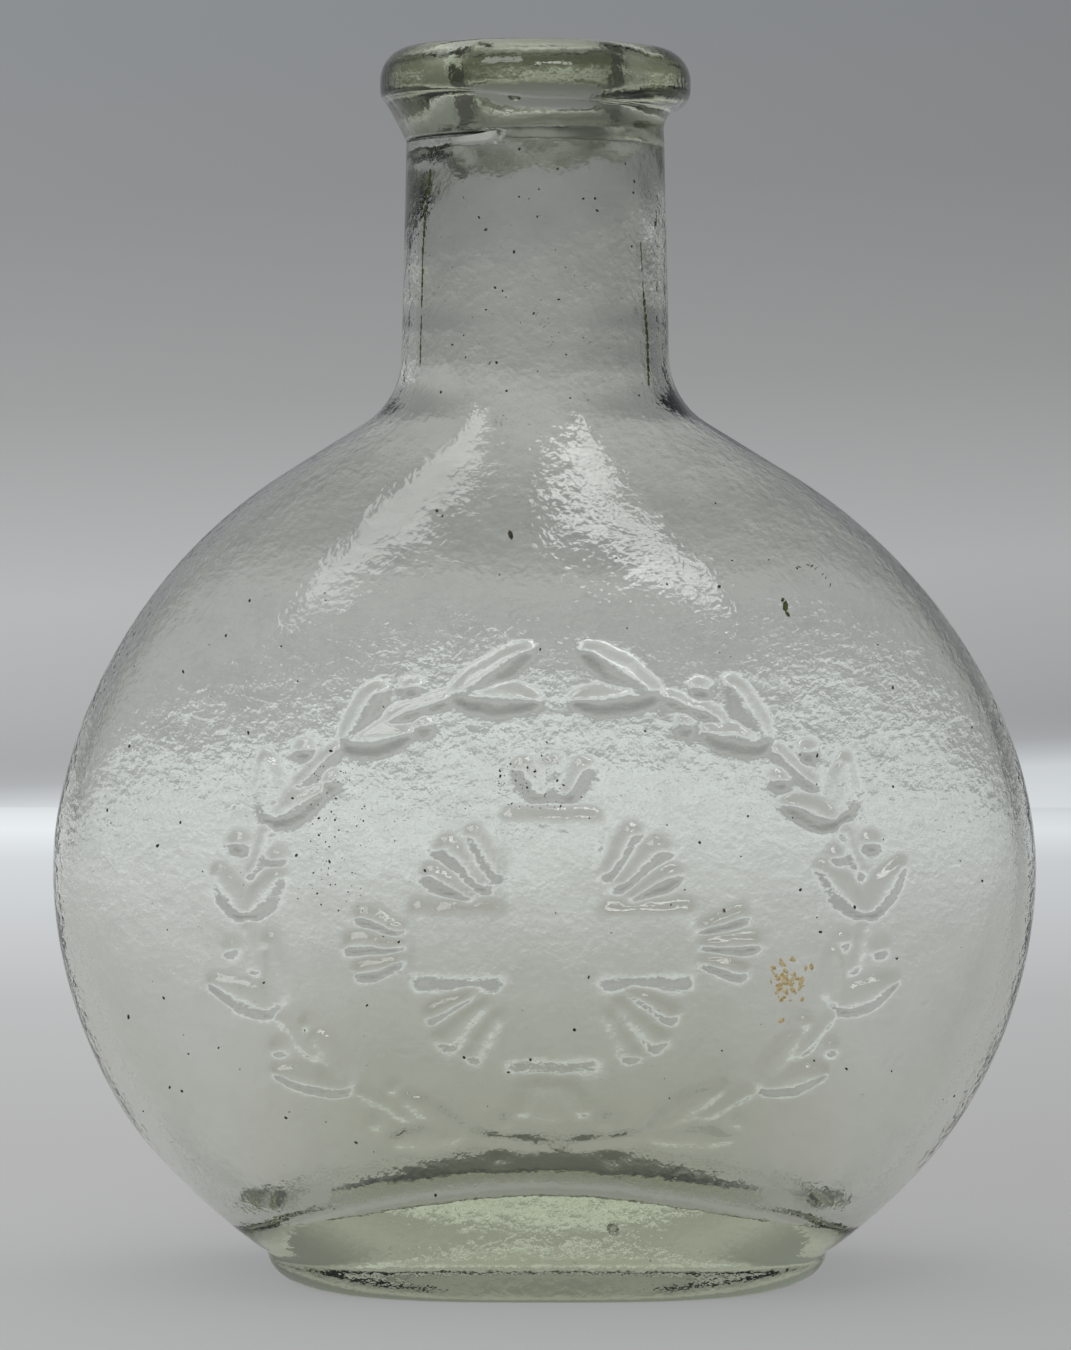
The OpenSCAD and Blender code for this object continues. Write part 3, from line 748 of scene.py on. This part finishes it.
make_specks()
make_stain()
make_moss_and_painted_edge_lines()

# Stage
WALL_Y, SIDE_X, FRONT_Y, WALL_LOW_Z, WALL_TOP_Z = 560.0, 900, -700, -20, 900


def sheet(name, corners, mat):
    add_mesh(name, corners, [(0, 1, 2, 3)], mat)


# painted light: the paper is brightest where it begins to sweep up
floor_mat = stage_material("floor_paper", (0, 1, 0), [
    (-0.6, 176, 0), (-0.025, 178, 1), (0.0766, 182, 0), (0.2167, 190, 2), (0.360, 207, 5), (0.436, 213, 7),
    (0.503, 233, 8), (0.54, 226, 8), (0.56, 218, 8)], -0.057, 0.72, 0.26)
# painted light and shade: the backdrop is brightest at its foot, with a lighter band a little above, and
# darker higher up
wall_mat = stage_material("backdrop_paper", (-0.0464, 0, 1), [
    (-0.006, 229, 8), (0.0045, 217, 8), (0.0067, 203, 7), (0.012, 174, 4), (0.017, 168, 3),
    (0.0312, 176, 2), (0.0562, 184, 2), (0.1058, 159, 1), (0.1552, 144, 3), (0.2, 141, 5), (0.9, 141, 5)],
    -0.133, 0.55, 0.0)
sheet("floor", [(-SIDE_X, FRONT_Y, 0), (SIDE_X, FRONT_Y, 0),
                (SIDE_X, WALL_Y, 0), (-SIDE_X, WALL_Y, 0)], floor_mat)
sheet("backdrop", [(-SIDE_X, WALL_Y, WALL_LOW_Z), (SIDE_X, WALL_Y, WALL_LOW_Z),
                   (SIDE_X, WALL_Y, WALL_TOP_Z), (-SIDE_X, WALL_Y, WALL_TOP_Z)], wall_mat)


def make_room():
    """The room is brighter on the side that the front faces than to the sides and behind the backdrop."""
    room = bpy.data.worlds.new("room")
    bpy.context.scene.world = room
    tree = Tree(room)
    heading = tree.add("TexCoord", {}).outputs["Generated"]
    split = tree.add("SeparateXYZ", {0: heading})
    strength = tree.spread(split.outputs["Y"], -0.9, -0.25, 0.28, 0.08)
    tree.feed(tree.nodes["Background"], {"Color": (0.98, 1.0, 0.97, 1), "Strength": strength})


def look_at(o, place, aim):
    """Put an object at place and turn it to look at aim, both in millimetres."""
    o.location = [c * MM for c in place]
    way = o.location.copy()
    for n in range(3):
        way[n] = aim[n] * MM - way[n]
    o.rotation_euler = way.to_track_quat("-Z", "Y").to_euler()


def window(name, place, size, power):
    """A window that looks straight ahead. The skin mirrors it, but it isn't seen through the glass."""
    data = bpy.data.lights.new(name, "AREA")
    data.shape = "RECTANGLE"
    data.size, data.size_y = size[0] * MM, size[1] * MM
    data.energy = power
    o = bpy.data.objects.new(name, data)
    bpy.context.scene.collection.objects.link(o)
    look_at(o, place, (place[0], 0, place[2]))
    o.visible_transmission = False


def ceiling_glow():
    """Wide light from above. It lights the paper, and isn't seen in or through the glass."""
    data = bpy.data.lights.new("ceiling_glow", "SUN")
    data.energy = 3.9
    data.angle = math.radians(90)
    o = bpy.data.objects.new("ceiling_glow", data)
    o.rotation_euler = (math.radians(-23), 0, 0)
    o.visible_glossy = False
    o.visible_transmission = False
    bpy.context.scene.collection.objects.link(o)


make_room()
ceiling_glow()
# a wide window behind the camera on the left and two small ones on the right, seen in the shoulders
window("window_left", (-505, -900, 925), (630, 560), 4.0)
window("window_right", (165, -900, 610), (290, 140), 0.88)
window("window_far_right", (400, -900, 650), (200, 170), 0.6)

# Camera
EYE, AIM = (0.0, -450.0, 94.0), (-0.987, 0.0, 66.885)
cam_data = bpy.data.cameras.new("camera")
cam_data.sensor_width = 36.0
cam_data.lens = 108.26
cam_data.clip_start, cam_data.clip_end = 0.01, 20
camera = bpy.data.objects.new("camera", cam_data)
scene = bpy.context.scene
scene.collection.objects.link(camera)
look_at(camera, EYE, AIM)
scene.camera = camera
scene.view_settings.view_transform = "Standard"
scene.cycles.max_bounces = 10
scene.cycles.transmission_bounces = 9
scene.cycles.glossy_bounces = 4
